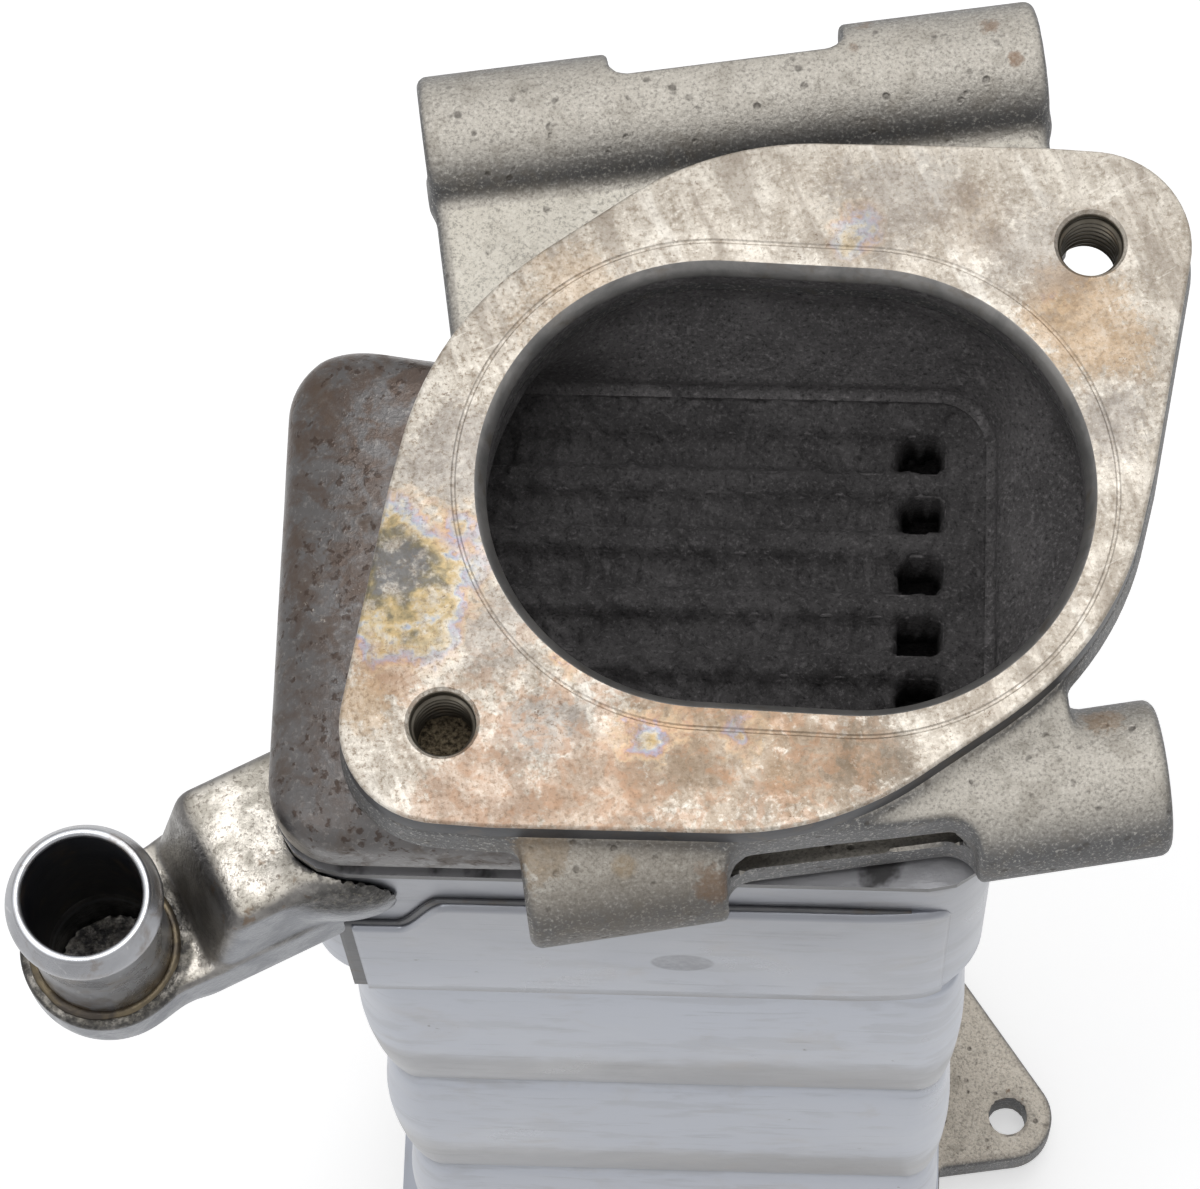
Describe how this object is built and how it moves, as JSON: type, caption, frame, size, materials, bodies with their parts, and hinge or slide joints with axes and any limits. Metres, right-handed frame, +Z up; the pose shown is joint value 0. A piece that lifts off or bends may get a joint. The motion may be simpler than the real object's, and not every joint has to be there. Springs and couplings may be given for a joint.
{
  "type": "egr cooler",
  "caption": "Upright exhaust gas cooler: ribbed stainless shell round flat finned tubes, cast port flanges with bored bolt bars, coolant elbow and hose spigots.",
  "frame": {"origin": "bottom centre of the whole object's box, on the outlet flange's sealing face", "axes": "+Z up along the gas tubes to the inlet flange, -Y the ribbed front with the tongue, +X away from the coolant elbow"},
  "size_m": [0.1434, 0.127, 0.33],
  "materials": {
    "casting": "satin sandy grey casting with a machined face, spots of rust",
    "tank": "dark heat-stained satin",
    "sheet": "bright pressed stainless",
    "header": "soot-blackened",
    "tube": "soot-blackened",
    "fin": "soot-blackened",
    "elbow": "dark warm casting",
    "spigot": "grey drawn tube with brown streaks"
  },
  "bodies": {
    "root": {"coolant_elbow": "elbow", "gas_fin_1": "fin", "gas_fin_2": "fin", "gas_fin_3": "fin", "gas_fin_4": "fin", "gas_fin_5": "fin", "gas_fin_6": "fin", "gas_tube_1": "tube", "gas_tube_2": "tube", "gas_tube_3": "tube", "gas_tube_4": "tube", "gas_tube_5": "tube", "gas_tube_6": "tube", "inlet_casting": "casting", "inlet_collar": "sheet", "inlet_header_plate": "header", "inlet_spigot": "spigot", "inlet_tank": "tank", "outlet_boss": "elbow", "outlet_casting": "casting", "outlet_collar": "sheet", "outlet_header_plate": "header", "outlet_spigot": "spigot", "outlet_tank": "tank", "shell_back": "sheet", "shell_front": "sheet"}
  },
  "joints": []
}
